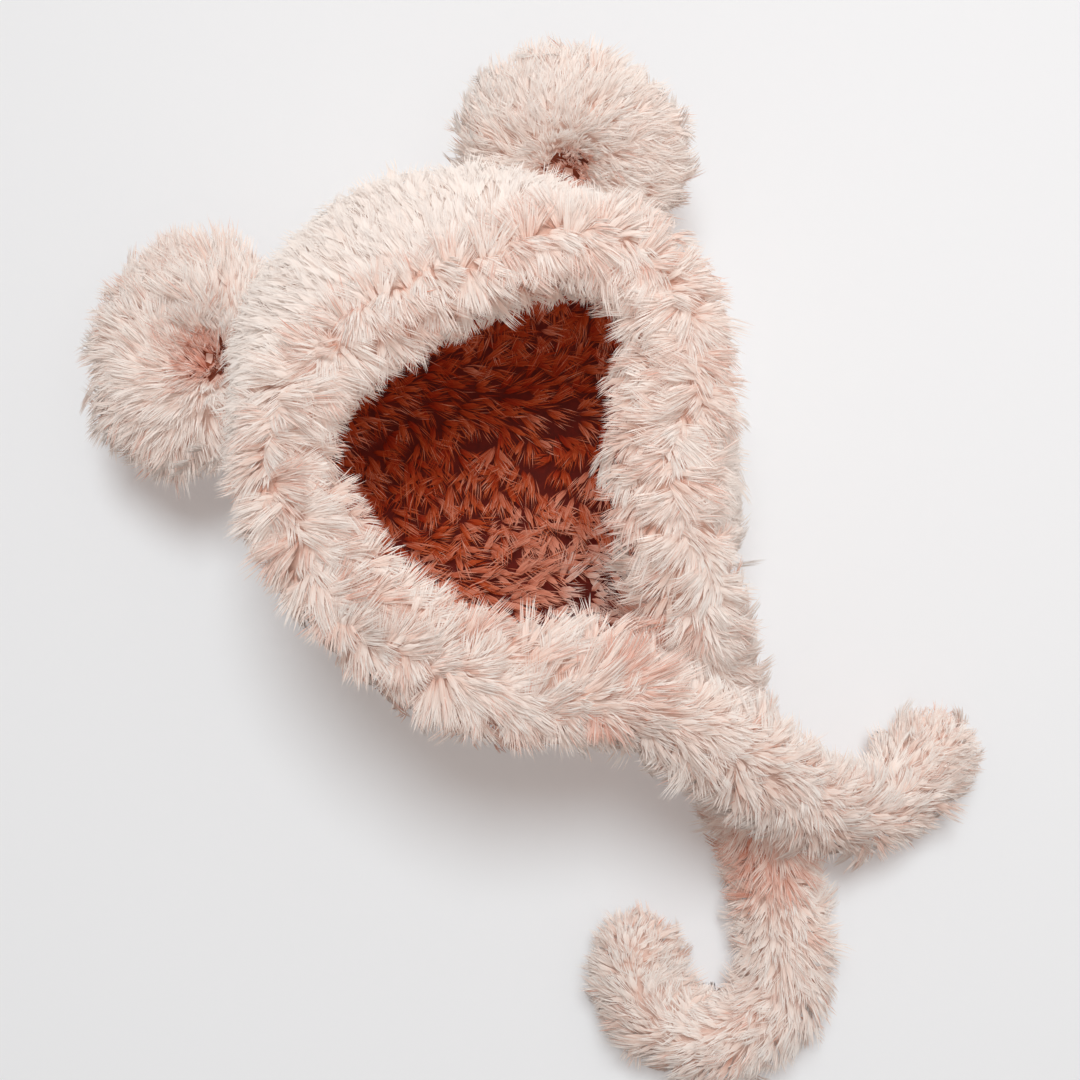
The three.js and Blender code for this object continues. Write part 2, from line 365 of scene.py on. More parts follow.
# Pile this near the floor is pressed in by it.
REST = 1.5 * MM


def settled(points):
    """Points with their height above the floor pressed in where it is under REST, to REST times e to the
    power of height over REST less 1."""
    low = points[..., 2] < REST
    points[..., 2] = np.where(low, REST * np.exp(np.minimum(points[..., 2] / REST, 1) - 1), points[..., 2])
    return points


def grow(skin, row, column, flow, pile, seed, scale=1.0, lean=1.0, tint=0.0):
    """Tufts at the places given, as two groups of closed spindles: the locks' bodies, and the hairs that
    lie on them. A group is its points, its map, its normals and the faces of each spindle. A lock's axis
    leaves the skin at the rise angle and ends at the lie angle. A hair is a bowed chord of its lock. Scale
    lengthens each tuft, lean multiplies its angles, and tint is added to its tone."""
    rng = np.random.default_rng(seed)
    tufts = len(row)
    shape = (tufts, pile.locks)
    scale, lean, tint = (
        np.broadcast_to(np.asarray(value, float), (tufts,))[:, None] for value in (scale, lean, tint)
    )
    normal = skin.at(skin.normals, row, column)
    way = skin.at(flow, row, column)
    way = unit(way - dot(way, normal) * normal)
    side = np.cross(normal, way)

    even = (np.arange(pile.locks) + 0.5) / pile.locks * 2 - 1
    spread = even[np.argsort(rng.random(shape), axis=1)]
    angle = np.radians(pile.fan) * (spread + rng.normal(0, 0.12, shape))
    angle += np.radians(pile.wild) * rng.normal(0, 1, (tufts, 1))
    back = rng.uniform(-1, 0.6, shape)[..., None]
    step = pile.pinch * (np.sin(angle)[..., None] * side[:, None] + back * way[:, None])
    at_row, at_column = skin.moved(row[:, None], column[:, None], step)
    root = skin.at(skin.points, at_row, at_column)
    up = unit(skin.at(skin.normals, at_row, at_column))
    ahead = np.cos(angle)[..., None] * way[:, None] + np.sin(angle)[..., None] * side[:, None]
    ahead = unit(ahead - dot(ahead, up) * up)

    length = rng.normal(1, pile.uneven, (tufts, 1)) * rng.normal(1, pile.uneven, shape)
    length = length * (1 - 0.2 * spread**2)
    length = (pile.length * scale * np.clip(length, 0.6, 1.3))[..., None]
    rise = np.radians(pile.rise * lean + rng.normal(0, 7, shape))[..., None]
    lie = np.radians(pile.lie * lean + rng.normal(0, 8, shape))[..., None]
    bend = root + LOCK_BEND * length * (np.cos(rise) * up + np.sin(rise) * ahead)
    tip = bend + (1 - LOCK_BEND) * length * (np.cos(lie) * up + np.sin(lie) * ahead)
    tip += 0.05 * pile.relief * length * rng.normal(0, 1, shape + (3,))
    lock_side = unit(np.cross(up, ahead) + 0.35 * pile.relief * rng.normal(0, 1, shape + (1,)) * up)
    tone = pile.tone + tint + pile.tone_range * (
        0.4 * rng.normal(0, 1, (tufts, 1)) + 0.3 * rng.normal(0, 1, shape)
    )

    count = tufts * pile.locks
    flat = (count, 3)
    locks = Locks(root.reshape(flat), bend.reshape(flat), tip.reshape(flat), lock_side.reshape(flat), pile)
    lift = up.reshape(count, 1, 3) * (1, 1, 0) + np.abs(up[..., 2]).reshape(count, 1, 1) * UP
    own_share, lock_share = pile.relief * OWN_SHARE, pile.relief * LOCK_SHARE
    tone = np.clip(tone, 0.08, 0.92).reshape(count, 1, 1)

    def soften(own, lock):
        return unit(own_share * own + lock_share * lock + SKIN_SHARE * lift + SKY_SHARE * UP)

    turn = np.radians(90 + 120 * np.arange(RING))
    t = np.repeat(BODY_PLACES, RING)[None, :, None]
    across = np.tile(np.cos(turn), len(BODY_PLACES))[None, :, None]
    height = np.tile(np.sin(turn), len(BODY_PLACES))[None, :, None]
    width = np.repeat(BODY_WIDTHS, RING)[None, :, None]
    rings = locks.place(t, width * across, width * BODY_DEPTH * height - BODY_SINK)
    points = np.concatenate([locks.axis(0.0), rings, locks.place(BODY_TIP, 0, -BODY_SINK)], axis=1)
    facing = np.concatenate([locks.over(0.0), locks.facing(t, across, height), locks.over(BODY_TIP)], axis=1)
    end = np.zeros((1, 1, 1))
    along = np.concatenate([end, t, end + BODY_TIP], axis=1)
    across = np.concatenate([end, across, end], axis=1)
    shades = np.concatenate([tone + BODY_SHADES * across, 0 * tone + 0.02 + 0.96 * along], axis=-1)
    bodies = (settled(points), shades, soften(facing, facing), BODY_FACES)

    each = (count, pile.hairs, 1)
    across = rng.uniform(-1, 1, each)
    height = np.sqrt(1 - across**2) * rng.uniform(-0.6, 1.3, each)
    stop = 1.04 - 0.26 * rng.random(each) ** 2
    start = np.maximum(0.02, stop - HAIR_SPAN * rng.uniform(0.8, 1.2, each))
    stray = rng.random(each) < STRAY_SHARE
    first = locks.place(start, across, height)
    last = locks.place(stop, across, height)
    last = last + (0.5 + 1.6 * stray) * pile.fray * rng.normal(0, 1, first.shape)
    bow = locks.place((start + stop) / 2, across, height) - (first + last) / 2
    size = np.linalg.norm(bow, axis=-1, keepdims=True)
    bow_way = (bow + 1e-6 * lift) / (size + 1e-6)
    thick = pile.thick * rng.uniform(0.75, 1.25, each)
    middle = (first + last) / 2 + bow_way * np.clip(size, 1.3 * thick, MOST_BEND)
    broad = unit(np.cross(last - first, bow_way))
    points = np.stack([first, middle + thick * broad, middle - thick * broad, last], axis=2)
    lock_facing = locks.facing((start + stop) / 2, across, np.maximum(height, 0.2))[:, :, None]
    own = np.stack([bow_way, unit(bow_way + broad), unit(bow_way - broad), bow_way], axis=2)
    normals = unit(
        own_share * own + lock_share * lock_facing + (SKIN_SHARE * lift)[:, :, None] + SKY_SHARE * UP
    )
    hair_tone = np.clip(tone + 0.7 * pile.tone_range * rng.normal(0, 1, each), 0.02, 0.98)
    u = np.concatenate([hair_tone, hair_tone - HAIR_SHADES, hair_tone + HAIR_SHADES, hair_tone], axis=-1)
    v = np.concatenate([start, (start + stop) / 2, (start + stop) / 2, stop], axis=-1)
    shades = np.stack([u, np.clip(0.02 + 0.96 * v, 0, 1)], axis=-1)
    total = count * pile.hairs
    points, shades, normals = settled(points), shades.reshape(total, 4, 2), normals.reshape(total, 4, 3)
    return [bodies, (points.reshape(total, 4, 3), shades, normals, HAIR_FACES)]


def put(name, points, loops, counts, material, body="root", slot=None):
    """A mesh object from its points, its faces' corners in one run, and each face's number of corners."""
    mesh = bpy.data.meshes.new(name)
    mesh.vertices.add(len(points))
    mesh.vertices.foreach_set("co", np.ascontiguousarray(points, np.float32).ravel())
    mesh.loops.add(len(loops))
    mesh.loops.foreach_set("vertex_index", np.ascontiguousarray(loops, np.int32))
    mesh.polygons.add(len(counts))
    mesh.polygons.foreach_set("loop_start", (np.cumsum(counts) - counts).astype(np.int32))
    mesh.polygons.foreach_set("loop_total", np.ascontiguousarray(counts, np.int32))
    mesh.update(calc_edges=True)
    mesh.polygons.foreach_set("use_smooth", np.full(len(counts), True))
    piece = bpy.data.objects.new(name, mesh)
    bpy.context.scene.collection.objects.link(piece)
    mesh.materials.append(material)
    if slot:
        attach(piece, body)
    return piece


def put_fur(name, groups, material, slot):
    """One mesh of groups of closed spindles, with their map, whose U is the tone and V the place along the
    lock, and with their own normals."""
    loops, shades, start = [], [], 0
    for points, shade, _, faces in groups:
        count, corners = points.shape[:2]
        loops.append((start + np.arange(count)[:, None, None] * corners + faces).ravel())
        shades.append(shade[:, faces.ravel()].reshape(-1, 2))
        start += count * corners
    points = np.concatenate([group[0].reshape(-1, 3) for group in groups])
    normals = np.concatenate([group[2].reshape(-1, 3) for group in groups])
    loops = np.concatenate(loops)
    piece = put(name, points, loops, np.full(len(loops) // 3, 3), material, slot=slot)
    layer = piece.data.uv_layers.new(name="OFBake")
    layer.data.foreach_set("uv", np.concatenate(shades).astype(np.float32).ravel())
    piece.data.normals_split_custom_set_from_vertices(normals)
    return piece


def put_grid(name, grid, material, slot):
    """A closed mesh from rings of points, each joined to the next, with a fan to the middle of both end
    rings. Its faces are turned outwards where the volume that they enclose comes out negative."""
    rows, columns = grid.shape[:2]
    index = np.arange(rows * columns).reshape(rows, columns)
    after = np.roll(index, -1, axis=1)
    quads = np.stack([index[:-1], after[:-1], after[1:], index[1:]], axis=-1).reshape(-1, 4)
    first, last = rows * columns, rows * columns + 1
    fans = np.concatenate([
        np.stack([np.full(columns, first), after[0], index[0]], axis=-1),
        np.stack([np.full(columns, last), index[-1], after[-1]], axis=-1),
    ])
    points = np.vstack([grid.reshape(-1, 3), grid[0].mean(0), grid[-1].mean(0)])
    thirds = np.concatenate([fans, quads[:, :3], quads[:, [0, 2, 3]]])
    one, two, three = points[thirds].transpose(1, 0, 2)
    if (one * np.cross(two, three)).sum() < 0:
        quads, fans = quads[:, ::-1], fans[:, ::-1]
    loops = np.concatenate([quads.ravel(), fans.ravel()])
    counts = np.concatenate([np.full(len(quads), 4), np.full(len(fans), 3)])
    return put(name, points, loops, counts, material, slot=slot)


def repaint(piece, material, faces):
    """A second material on some of a piece's faces."""
    piece.data.materials.append(material)
    index = np.zeros(len(piece.data.polygons), np.int32)
    index[faces] = 1
    piece.data.polygons.foreach_set("material_index", index)


def tube_grid(line, half_width, half_height, columns=24, cap_rows=6):
    """Rings of an upright ellipse carried along a line, closed to a half ball at both ends. Column angles
    run from the outer side, over the top, to the inner side."""
    line = line[:, :3]
    along = unit(np.gradient(line, axis=0))
    width = np.broadcast_to(half_width, len(line)).astype(float)
    height = np.broadcast_to(half_height, len(line)).astype(float)
    turn = np.linspace(0, np.pi / 2, cap_rows + 1)[1:] - 1e-2
    start = line[0] - along[0] * width[0] * np.sin(turn)[::-1, None]
    stop = line[-1] + along[-1] * width[-1] * np.sin(turn)[:, None]
    shrink = np.concatenate([np.cos(turn)[::-1], np.ones(len(line)), np.cos(turn)])
    centre = np.vstack([start, line, stop])
    along = np.vstack([np.repeat(along[:1], cap_rows, 0), along, np.repeat(along[-1:], cap_rows, 0)])
    width = np.concatenate([np.full(cap_rows, width[0]), width, np.full(cap_rows, width[-1])]) * shrink
    height = np.concatenate([np.full(cap_rows, height[0]), height, np.full(cap_rows, height[-1])]) * shrink
    side = unit(np.cross(UP, along))
    lift = np.cross(along, side)
    angle = np.arange(columns) / columns * 2 * np.pi
    return (
        centre[:, None]
        + (width[:, None] * np.cos(angle))[..., None] * side[:, None]
        + (height[:, None] * np.sin(angle))[..., None] * lift[:, None]
    )


def swirl(skin, flow, seed, wave, most):
    """The flow turned on the skin by an angle that wanders with place: a sum of three sine waves, most
    radians at the furthest."""
    rng = np.random.default_rng(seed)
    heading = unit(rng.normal(0, 1, (3, 3)))
    phase = rng.uniform(0, 2 * np.pi, 3)
    angle = np.sin(2 * np.pi / wave * skin.points @ heading.T + phase).sum(-1)[..., None] / 1.8 * most
    way = unit(flow - dot(flow, skin.normals) * skin.normals)
    return np.cos(angle) * way + np.sin(angle) * np.cross(skin.normals, way)


# The lights and what they aim at, and the room round them: what it gives off, and how bright its wall looks.
LAMPS = {
    "window": dict(kind="SUN", place=(0.26, 0.42, 1.12), power=1.72, colour=(0.86, 0.955, 1.0), shadow=True),
    "fill": dict(kind="AREA", place=(0.36, 0.14, 0.78), power=2.3, colour=(1.0, 0.94, 0.92), shadow=False),
}
WINDOW_ANGLE = np.radians(24)
FILL_SIZE = 0.6
AIM = Vector((0, -0.03, 0.03))
ROOM_LIGHT = (1.0, 0.87, 0.80, 1)
ROOM_STRENGTH = 0.31
WALL_LIGHT = (0.80, 0.81, 0.82, 1)


def camera_and_light():
    """The view from above, a broad window light from its upper right, a pale room round it, and a weak light
    that casts no shadow, for what deep fur passes on from hair to hair."""
    data = bpy.data.cameras.new("camera")
    data.sensor_width = SENSOR
    data.lens = FOCAL_PIXELS / PHOTO_SIZE * SENSOR
    data.clip_start = 0.01
    camera = bpy.data.objects.new("camera", data)
    camera.matrix_world = Matrix.Translation(CAMERA_PLACE) @ Matrix.Rotation(CAMERA_TURN, 4, "Z")
    bpy.context.scene.collection.objects.link(camera)
    bpy.context.scene.camera = camera

    for name, lamp in LAMPS.items():
        light = bpy.data.lights.new(name, lamp["kind"])
        light.use_shadow = lamp["shadow"]
        if lamp["kind"] == "SUN":
            light.angle = WINDOW_ANGLE
        else:
            light.size = FILL_SIZE
        light.energy = lamp["power"]
        light.color = lamp["colour"]
        holder = bpy.data.objects.new(name, light)
        holder.location = lamp["place"]
        holder.rotation_euler = (AIM - holder.location).to_track_quat("-Z", "Y").to_euler()
        bpy.context.scene.collection.objects.link(holder)

    world = bpy.data.worlds.new("room")
    world.use_nodes = True
    tree = world.node_tree
    room, wall = tree.nodes["Background"], tree.nodes.new("ShaderNodeBackground")
    room.inputs["Color"].default_value = ROOM_LIGHT
    room.inputs["Strength"].default_value = ROOM_STRENGTH
    wall.inputs["Color"].default_value = WALL_LIGHT
    mix = tree.nodes.new("ShaderNodeMixShader")
    tree.links.new(tree.nodes.new("ShaderNodeLightPath").outputs["Is Camera Ray"], mix.inputs[0])
    tree.links.new(room.outputs[0], mix.inputs[1])
    tree.links.new(wall.outputs[0], mix.inputs[2])
    tree.links.new(mix.outputs[0], tree.nodes["World Output"].inputs["Surface"])
    bpy.context.scene.world = world
    bpy.context.scene.view_settings.view_transform = "Standard"
    bpy.context.scene.cycles.diffuse_bounces = 10
    bpy.context.scene.cycles.max_bounces = 14


class Wire:
    """A node's output, on which sums are written as expressions: each operator adds its Math node."""

    def __init__(self, material, socket):
        self.material = material
        self.socket = socket

    def math(self, operation, one, other):
        return node(self.material, "ShaderNodeMath", {"operation": operation}, {0: one, 1: other})

    def __add__(self, other):
        return self.math("ADD", self, other)

    def __sub__(self, other):
        return self.math("SUBTRACT", self, other)

    def __rsub__(self, other):
        return self.math("SUBTRACT", other, self)

    def __mul__(self, other):
        return self.math("MULTIPLY", self, other)

    __radd__ = __add__
    __rmul__ = __mul__


def node(material, kind, settings=None, sockets=None, output=0):
    """One node: its settings first, a ramp's stops among them, then a value or a Wire for each of its
    sockets."""
    made = material.node_tree.nodes.new(kind)
    for name, value in (settings or {}).items():
        if name == "stops":
            ramp = made.color_ramp
            while len(ramp.elements) < len(value):
                ramp.elements.new(0.5)
            for element, (place, colour) in zip(ramp.elements, value):
                element.position = place
                element.color = (*colour, 1)
        else:
            setattr(made, name, value)
    for name, value in (sockets or {}).items():
        if isinstance(value, Wire):
            material.node_tree.links.new(value.socket, made.inputs[name])
        else:
            made.inputs[name].default_value = value
    return Wire(material, made.outputs[output])


def linear(red, green, blue):
    """A colour of 0 to 255 a channel as the light it stands for."""
    value = np.array([red, green, blue]) / 255
    light = np.where(value <= 0.04045, value / 12.92, ((value + 0.055) / 1.055) ** 2.4)
    return tuple(float(x) for x in light)


def new_material(name, roughness, sheen=0.0, specular=0.3):
    """A material with its shader's even values set, and that shader."""
    material = bpy.data.materials.new(name)
    material.use_nodes = True
    shader = material.node_tree.nodes["Principled BSDF"]
    shader.inputs["Roughness"].default_value = roughness
    shader.inputs["Sheen Weight"].default_value = sheen
    shader.inputs["Sheen Roughness"].default_value = 0.5
    shader.inputs["Specular IOR Level"].default_value = specular
    return material, shader


# Where a pile's root, middle and tip colours lie along it, and how a noise is stretched over its map to
# streak it.
PILE_STOPS = (0.0, 0.3, 0.75)
STREAKS = (110, 2.5, 1)


def fur_material(name, rosy, dull, pale, sheen=0.08, specular=0.3):
    """Hair, by its map: V runs from a root's colour to a tip's, darker at the root as painted shade deep in
    the pile, and U from the rosy tones over the dull ones to the pale ones. A fine noise along U streaks
    them."""
    material, shader = new_material(name, 0.65, sheen, specular)
    place = node(material, "ShaderNodeUVMap", {"uv_map": "OFBake"})
    tone = node(material, "ShaderNodeSeparateXYZ", {}, {0: place}, output=0)
    rise = node(material, "ShaderNodeSeparateXYZ", {}, {0: place}, output=1)
    stretched = node(material, "ShaderNodeMapping", {}, {"Vector": place, "Scale": STREAKS})
    streak = node(material, "ShaderNodeTexNoise", {}, {"Vector": stretched, "Scale": 1.0, "Detail": 2.0})
    along = rise + (streak - 0.5) * 0.6
    ramps = [
        node(material, "ShaderNodeValToRGB", {"stops": list(zip(PILE_STOPS, colours))}, {0: along})
        for colours in (rosy, dull, pale)
    ]
    share = tone + (streak - 0.5) * 0.9
    low = node(
        material, "ShaderNodeMix", {"data_type": "RGBA", "clamp_factor": True},
        {0: share * 2.2, 6: ramps[0], 7: ramps[1]}, output=2,
    )
    colour = node(
        material, "ShaderNodeMix", {"data_type": "RGBA", "clamp_factor": True},
        {0: (share - 0.45) * 2.2, 6: low, 7: ramps[2]}, output=2,
    )
    material.node_tree.links.new(colour.socket, shader.inputs["Base Color"])
    return material


def ground_material(name, light, dark, scale=260.0):
    """The knitted ground that shows between the tufts: short wound fibres, as a stretched noise in two
    tones, which are darker than the pile's tips as painted shade between the tufts."""
    material, shader = new_material(name, 0.9, sheen=0.2)
    place = node(material, "ShaderNodeTexCoord", {}, {}, output=3)
    fibre = node(material, "ShaderNodeTexNoise", {}, {"Vector": place, "Scale": scale, "Detail": 3.0})
    colour = node(
        material, "ShaderNodeMix", {"data_type": "RGBA"},
        {0: fibre, 6: (*dark, 1), 7: (*light, 1)}, output=2,
    )
    bump = node(material, "ShaderNodeBump", {}, {"Strength": 0.6, "Distance": 0.0008, "Height": fibre})
    material.node_tree.links.new(colour.socket, shader.inputs["Base Color"])
    material.node_tree.links.new(bump.socket, shader.inputs["Normal"])
    return material


# Colours of pile, each at its root, in its middle and at its tip. Each darkens towards its root as painted
# shade deep in the pile.
BLUSH_ROSY = (linear(158, 66, 42), linear(204, 124, 98), linear(226, 168, 148))
BLUSH_DULL = (linear(208, 138, 112), linear(231, 195, 178), linear(237, 214, 202))
BLUSH_PALE = (linear(222, 168, 146), linear(242, 221, 209), linear(247, 236, 228))
# Painted shade: the ears' rosy tones, dark rust, which show mostly in their hollows.
EAR_SHADE_ROSY = (linear(126, 42, 20), linear(178, 94, 66), linear(216, 150, 128))
# Painted light: the hood's outer pile, a paler copy of the blush pile, as the crown looks in full light, and
# barely darker at its roots.
LIT_CROWN_ROSY = (linear(230, 196, 180), linear(238, 212, 199), linear(243, 223, 212))
LIT_CROWN_DULL = (linear(238, 212, 198), linear(243, 223, 212), linear(246, 231, 221))
LIT_CROWN_PALE = (linear(243, 223, 211), linear(247, 232, 222), linear(250, 239, 231))
# Painted shade: the hood's inside pile, a dark rust copy of the blush pile, as the hollow looks in shade.
INSIDE_SHADE_ROSY = (linear(72, 4, 0), linear(138, 24, 2), linear(166, 46, 10))
INSIDE_SHADE_DULL = (linear(100, 14, 0), linear(168, 60, 18), linear(196, 90, 44))
INSIDE_SHADE_PALE = (linear(140, 54, 32), linear(202, 124, 98), linear(222, 154, 130))


def painted_crease_shade(skin, row, column):
    """The painted shade that the chin's creases and the shaded stretch of tie add to the tone of tufts: a
    Gaussian round the middle of each.
    """
    place = skin.at(skin.points, row, column)[:, :2] / MM
    away = ((np.linalg.norm(place - (x, y), axis=1) / reach, fall) for x, y, reach, fall in PAINTED_CREASE_SHADE)
    return sum(-fall * np.exp(-(far**2)) for far, fall in away)


def lip_scale(skin, row, column, number):
    """How much longer the trim's inner pile is near the chin, where the two ends push it up."""
    away = np.linalg.norm(skin.at(skin.points, row, column)[:, :2] - LIP[:2], axis=1)
    return 1 + (number == 0) * LIP[3] * np.exp(-((away / LIP[2]) ** 2))


def make_ties(materials):
    """Each tie: a round core along its route, with its pile round it. The core stops short of the route's
    end, and the pile fills the rest. Past is the angle from the tie's ridge. The pile runs along the ridge
    and turns out to both sides, and is thickest on the ridge and at the tip, where it is short."""
    for number, (name, route) in enumerate(TIES.items()):
        line = evenly(smooth_line(route), 400)
        line = evenly(line[: round(len(line) * (1 - TIE_END_PILE / length_of(line)))], 8 * len(route))
        core = put_grid(name + "_core", tube_grid(line, TIE_CORE, TIE_CORE), materials["ground"], "tie_fur")
        ground = tube_grid(line, TIE_PILE_GROUND, TIE_PILE_GROUND)
        skin = Skin(ground.copy(), outward=-1)
        ground[..., 2] = np.maximum(ground[..., 2], FLOOR_CLEARANCE)
        under = put_grid(name + "_underfur", ground, materials["pale_ground"], "tie_fur")
        rows, columns = skin.points.shape[:2]
        angle = np.arange(columns) / columns * 2 * np.pi
        past = (angle - np.pi / 2 + np.pi) % (2 * np.pi) - np.pi
        aside = (np.sign(past) * smoothstep(0, 1.5, np.abs(past)))[None, :, None] * unit(skin.across)
        along = (0.75 - 0.6 * smoothstep(0.3, 1.2, np.abs(past)))[None, :, None] * unit(skin.down)
        flow = swirl(skin, unit(aside + along), 40 + number, 0.05, 0.4)
        tip = smoothstep(rows - 18, rows - 8, np.arange(rows))[:, None]
        ridge = 1 - smoothstep(0.2, 0.8, np.abs(past))
        seen = (np.where(np.abs(past) < 1.9, 1.0, 0.5) + 0.8 * ridge)[None] * (1 + 0.7 * tip)
        row, column = skin.scatter(int(TIE_TUFTS_PER_MM * length_of(line) / MM), 50 + number, seen)
        end = smoothstep(rows - 14, rows - 5, row)
        under_side = smoothstep(0, -0.8, skin.at(skin.normals, row, column)[:, 2])
        # The tint is painted shade in the chin's creases and where one tie shades the other.
        fur = grow(
            skin, row, column, flow, TIE_PILE, 60 + number, scale=(1 - 0.3 * end) * (1 - 0.3 * under_side),
            lean=0.95 - 0.2 * end, tint=painted_crease_shade(skin, row, column),
        )
        fur = put_fur(name + "_fur", fur, materials["tie"], "tie_fur")
        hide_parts(name)


def make_trim(materials):
    """The trim: a core round the face, a part that waves along its top as a sum of two sines, fans of pile
    off the part to both sides, and fill between them. Past is the angle from the part."""
    line = evenly(smooth_line(TRIM_ROUTE), 120)
    grid = tube_grid(line, line[:, 3] - TRIM_GROUND, TRIM_HALF_HEIGHT - 0.85 * TRIM_GROUND, columns=32)
    core = put_grid("face_trim_core", grid, materials["ground"], "trim_fur")
    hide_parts("face_trim")
    skin = Skin(grid, outward=-1)
    rows, columns = grid.shape[:2]
    share = np.linspace(0, 1, rows)[:, None]
    angle = (np.arange(columns) / columns * 2 * np.pi)[None]
    part = np.radians(76) + 0.16 * np.sin(share * 47) + 0.1 * np.sin(share * 101 + 1)
    past = (angle - part + np.pi) % (2 * np.pi) - np.pi
    repaint(core, materials["pale_ground"], np.flatnonzero(np.abs(past[:-1]) > 1.3))
    aside = np.where(past > 0, 1.0, -1.0)[..., None] * unit(skin.across)
    towards_chin = ((2 * share - 1) * 0.8 * np.ones_like(angle))[..., None] * unit(skin.down)
    flow = swirl(skin, unit(aside + towards_chin), 11, 0.06, 0.2)

    furs = []
    for number, (name, way) in enumerate((("inner", 1), ("outer", -1))):
        row = (np.arange(TRIM_STITCHES) + 0.5 * number) / TRIM_STITCHES * (rows - 12) + 6
        over = np.interp(row, np.arange(rows), part[:, 0]) + way * 0.09
        column = over / (2 * np.pi) * columns
        # The tint is painted shade in the chin's creases.
        fur = grow(
            skin, row, column, flow, TRIM_FANS, 20 + number,
            scale=lip_scale(skin, row, column, number), tint=painted_crease_shade(skin, row, column),
        )
        clear = np.where((way * past > 0.1) & (np.abs(past) < 2.9), 1.0, 0.0)
        row, column = skin.scatter(TRIM_FILL_TUFTS, 22 + number, clear)
        fur += grow(
            skin, row, column, flow, TRIM_FILL, 24 + number,
            scale=lip_scale(skin, row, column, number), tint=painted_crease_shade(skin, row, column),
        )
        furs.append(put_fur("face_trim_fur_" + name, fur, materials["trim"], "trim_fur"))
    return [core, *furs]


def hood_profile(inset, shoulder=20, under=20, flat=12):
    """The hood's face at an inset from its outer form. Each section starts at the edge, swells to the girth
    on a quarter ellipse, turns under on another to the flat of the back, and runs in to the middle."""
    edge = smooth_line(np.vstack([TRIM_ROUTE[EDGE_STATIONS, :3], NECK_ROUTE]), closed=True)
    edge = evenly(edge, 121)[:-1]
    bearing = np.arctan2(edge[:, 1] - BACK[1], edge[:, 0] - BACK[0])
    edge_reach = np.hypot(edge[:, 0] - BACK[0], edge[:, 1] - BACK[1])
    slot = np.clip((bearing + np.pi) / GIRTH_STEP, 0, len(GIRTH_REACH) - 1.001)
    row = np.floor(slot).astype(int)
    part = smoothstep(0, 1, slot - row)
    girth = GIRTH_REACH[row] * (1 - part) + GIRTH_REACH[row + 1] * part
    height = GIRTH_HEIGHT[row] * (1 - part) + GIRTH_HEIGHT[row + 1] * part
    edge_now = edge_reach + WALL / 2 - inset
    reach = np.maximum(girth, edge_reach + WALL / 2) - inset
    base = max(inset, 0)
    height = np.maximum(height, base + LEAST_RISE)
    nape = smoothstep(NAPE_SINE, 1, -np.sin(bearing))
    flat_reach = reach * (FLOOR_SHARE + (NAPE_FLOOR_SHARE - FLOOR_SHARE) * nape)
    top = np.maximum(edge[:, 2], height)
    turn = (np.linspace(0, 1, shoulder + 1) * np.pi / 2)[:, None]
    radius = [edge_now + (reach - edge_now) * np.sin(turn)]
    level = [height + (top - height) * np.cos(turn)]
    turn = (np.linspace(0, 1, under + 1)[1:] * np.pi / 2)[:, None]
    radius.append(flat_reach + (reach - flat_reach) * np.cos(turn))
    level.append(base + (height - base) * (1 - np.sin(turn)))
    inwards = np.linspace(1, 0.02, flat + 1)[1:, None]
    radius.append(flat_reach * inwards)
    level.append(np.full((flat, len(edge)), base) + 0 * flat_reach)
    radius, level = np.vstack(radius), np.vstack(level)
    return np.stack([BACK[0] + radius * np.cos(bearing), BACK[1] + radius * np.sin(bearing), level], axis=-1)


def make_hood(materials):
    """The hood: a closed shell of knit, with long pile outside that lies back from the face and is paler as
    painted light, as the crown looks in full light, and short pile inside, coloured as painted shade: rust,
    paler towards the neck, and blush at the nape. Its flat area is the mean of its two sides."""
    outer, inner = hood_profile(HOOD_GROUND), hood_profile(HOOD_GROUND + HOOD_KNIT)
    shell = np.concatenate([inner[::-1], outer])
    knit = put_grid("hood_knit", shell, materials["hood_ground"], "hood_fur")
    rows, columns = outer.shape[:2]
    # The shell's inner side is painted shade: a dark rust knit.
    faces = np.r_[: (rows - 1) * columns, (2 * rows - 1) * columns : 2 * rows * columns]
    repaint(knit, materials["inside_shade_ground"], faces)
    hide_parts("hood")

    skin = Skin(outer, outward=-1)
    depth = np.linspace(0, 1, rows)[:, None]
    keep = np.where(outer[..., 2] > 9 * MM, 1.0, 0.12) * (depth < 0.8)
    flow = swirl(skin, unit(skin.down), 71, 0.09, 0.25)
    row, column = skin.scatter(HOOD_OUTSIDE_TUFTS, 72, keep)
    fur = grow(skin, row, column, flow, HOOD_OUTSIDE, 73)
    outside = put_fur("hood_fur_outside", fur, materials["hood"], "hood_fur")

    skin = Skin(inner, outward=1)
    back = smoothstep(0.5, 0.75, depth)[..., None]
    flow = swirl(skin, (1 - back) * unit(skin.down) + back * (0.3, -1, 0), 81, 0.07, 0.9)
    row, column = skin.scatter(HOOD_INSIDE_TUFTS, 82)
    # Painted shade inside: the tint darkens the pile deep in the hood, lightens it towards the neck, and
    # darkens the nape's blush pile.
    level = skin.at(skin.points, row, column)[:, 1]
    neck = smoothstep(DARKEST_SHADE_LEVEL, LIGHTEST_SHADE_LEVEL, level)
    deep = level + np.random.default_rng(84).normal(0, NAPE_BLUR, len(level)) >= NAPE_LEVEL
    fur = grow(skin, row[deep], column[deep], flow, HOOD_INSIDE, 83, tint=0.65 * neck[deep] - 0.2)
    inside = put_fur("hood_fur_inside", fur, materials["inside"], "hood_fur")
    fur = grow(skin, row[~deep], column[~deep], flow, HOOD_INSIDE, 85, tint=-0.3)
    nape = put_fur("hood_fur_nape", fur, materials["tie"], "hood_fur")
    area = float(skin.area.sum() + Skin(outer).area.sum()) / 2


